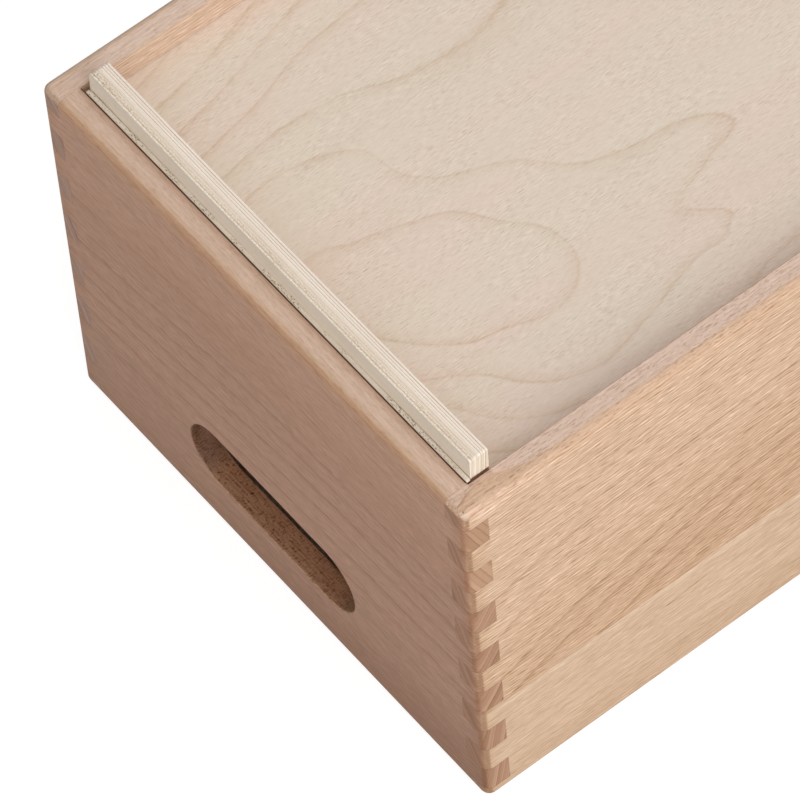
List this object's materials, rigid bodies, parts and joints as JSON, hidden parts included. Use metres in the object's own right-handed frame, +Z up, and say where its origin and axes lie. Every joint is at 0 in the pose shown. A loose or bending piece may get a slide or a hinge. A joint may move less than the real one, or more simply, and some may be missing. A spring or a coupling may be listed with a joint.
{
  "type": "sliding lid box",
  "caption": "Open-topped rectangular wooden storage box with finger-jointed corners, a hand slot in each end wall and a plywood lid that slides off lengthwise by a raised batten",
  "frame": {"origin": "Middle of the box's footprint, on the surface that it stands on, with the lid shut.", "axes": "+Z is up. +Y runs along the box's length, the way the lid slides off, so the full-height front wall is at -Y and the lower rear wall is at +Y. +X runs across the box to the right, seen from the front wall."},
  "size_m": [0.3, 0.4, 0.245],
  "materials": {
    "beech": "sanded solid beech with a thin matt clear coat",
    "birch_plywood": "sanded birch plywood with a thin matt clear coat",
    "batten_plywood": "sanded birch plywood with its plies on show along the top edge"
  },
  "bodies": {
    "case": {"front_wall_lower": "beech", "front_wall_middle": "beech", "front_wall_upper": "beech", "rear_wall_lower": "beech", "rear_wall_middle": "beech", "rear_wall_upper": "beech", "left_wall_lower": "beech", "left_wall_upper": "beech", "right_wall_lower": "beech", "right_wall_upper": "beech", "floor_panel": "birch_plywood"},
    "lid": {"lid_panel": "birch_plywood", "lid_batten": "batten_plywood"}
  },
  "joints": [
    {"name": "lid_slide", "type": "slide", "parent": "case", "child": "lid", "axis": [0, 1, 0], "range_m": [0, 0.371]}
  ]
}
